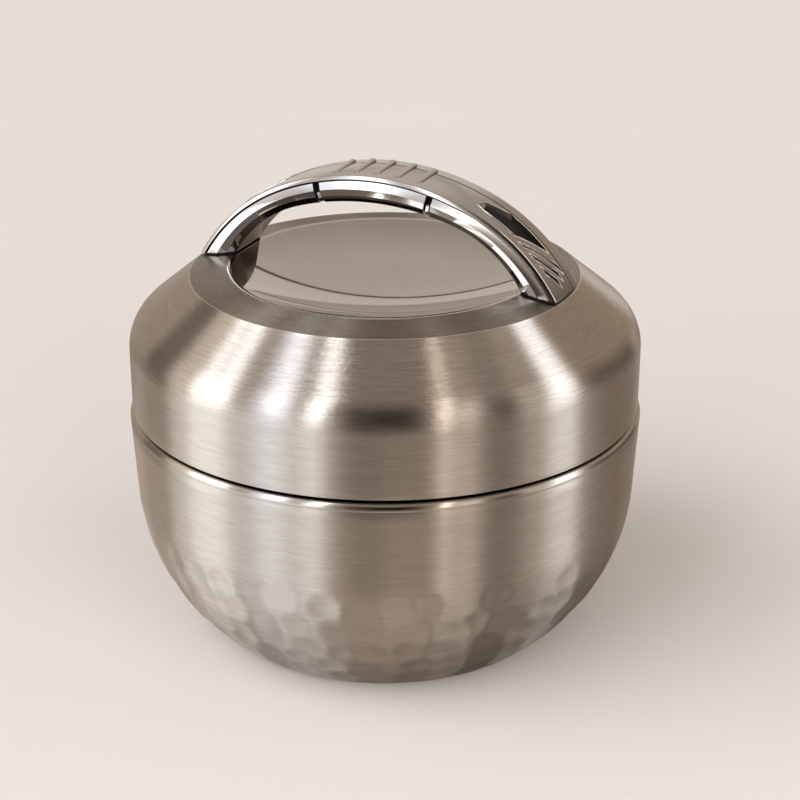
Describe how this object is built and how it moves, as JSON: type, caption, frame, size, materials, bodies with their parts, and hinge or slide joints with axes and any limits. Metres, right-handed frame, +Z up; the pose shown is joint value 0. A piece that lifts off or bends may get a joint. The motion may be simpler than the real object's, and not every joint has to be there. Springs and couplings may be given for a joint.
{
  "type": "insulated lunch box",
  "caption": "Round brushed-steel insulated lunch box with a domed twist-lock lid and a fixed arch handle; a food bowl, its cover and a tray stack inside.",
  "frame": {"origin": "centre of the base, on the surface the box stands on", "axes": "+Z up along the box's axis, +X along the handle, +Y across the handle"},
  "size_m": [0.2, 0.2, 0.1841],
  "materials": {
    "brushed_steel": "satin",
    "plain_steel": "satin",
    "polished_metal": "polished",
    "satin_metal": "satin",
    "black_plastic": "matte",
    "pale_plastic": "satin",
    "black_rubber": "matte",
    "clear_silicone": "satin",
    "foam": "matte"
  },
  "bodies": {
    "base": {"outer_bowl": "brushed_steel", "base_plate": "plain_steel", "base_pad": "black_rubber", "bowl_liner": "plain_steel", "bowl_insulation": "foam", "rim_collar": "black_plastic"},
    "food_bowl": {"food_bowl": "plain_steel"},
    "bowl_cover": {"bowl_cover": "pale_plastic", "cover_seal": "clear_silicone"},
    "food_tray": {"food_tray": "plain_steel"},
    "seal": {"seal_plate": "plain_steel", "lid_gasket": "clear_silicone", "swivel_bush": "pale_plastic"},
    "lid": {"lid_shell": "brushed_steel", "lock_ring": "black_plastic", "lid_liner": "black_plastic", "lid_insulation": "foam", "swivel_screw": "plain_steel", "handle_leg_left": "polished_metal", "handle_leg_right": "polished_metal", "handle_grip": "polished_metal", "handle_core": "black_plastic", "handle_cover": "satin_metal", "foot_pad_left": "black_rubber", "foot_pad_right": "black_rubber", "backing_block_left": "black_plastic", "backing_block_right": "black_plastic", "handle_screws": "plain_steel"}
  },
  "joints": [
    {"name": "food_bowl_lift", "type": "slide", "parent": "base", "child": "food_bowl", "axis": [0, 0, 1], "range_m": [0, 0.095]},
    {"name": "bowl_cover_lift", "type": "slide", "parent": "food_bowl", "child": "bowl_cover", "axis": [0, 0, 1], "range_m": [0, 0.05]},
    {"name": "food_tray_lift", "type": "slide", "parent": "bowl_cover", "child": "food_tray", "axis": [0, 0, 1], "range_m": [0, 0.04]},
    {"name": "lid_lift", "type": "slide", "parent": "food_tray", "child": "seal", "axis": [0, 0, 1], "range_m": [0, 0.06]},
    {"name": "lid_turn", "type": "hinge", "parent": "seal", "child": "lid", "pos_m": [0, 0, 0.1], "axis": [0, 0, -1], "range_deg": [0, 31]}
  ]
}
